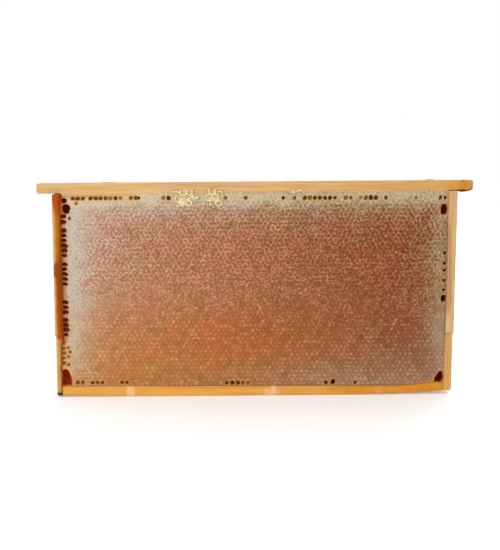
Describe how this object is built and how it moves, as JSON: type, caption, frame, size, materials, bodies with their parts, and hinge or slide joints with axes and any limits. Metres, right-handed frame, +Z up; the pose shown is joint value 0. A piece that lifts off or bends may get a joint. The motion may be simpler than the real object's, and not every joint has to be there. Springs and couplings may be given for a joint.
{
  "type": "honeycomb in a wooden frame",
  "caption": "Upright wooden bee frame with lugged top bar, stepped side bars and bottom bar, filled on both sides with sealed honeycomb, with open edge cells and burr comb.",
  "frame": {"origin": "middle of the frame's foot: the middle of the whole object's width and depth, at the height of the surface it stands on", "axes": "+X along the top bar to the right as seen from the front, +Y from the front of the comb to its back, +Z up"},
  "size_m": [0.47, 0.037, 0.235],
  "materials": {
    "wood_top": "planed pale softwood, bare, handled and a little stained",
    "wood_side": "planed softwood, stained orange-brown by resin and wax",
    "wood_bottom": "planed softwood with a golden wax film",
    "comb_wax": "thin wax cappings over dark honey, whiter and drier towards the edges, satin",
    "burr_wax": "fresh pale yellow wax, soft satin"
  },
  "bodies": {
    "root": {"top_bar": "wood_top", "side_bar_left": "wood_side", "side_bar_right": "wood_side", "bottom_bar": "wood_bottom", "comb": "comb_wax", "burr_comb_left": "burr_wax", "burr_comb_right": "burr_wax", "burr_comb_small": "burr_wax"}
  },
  "joints": []
}
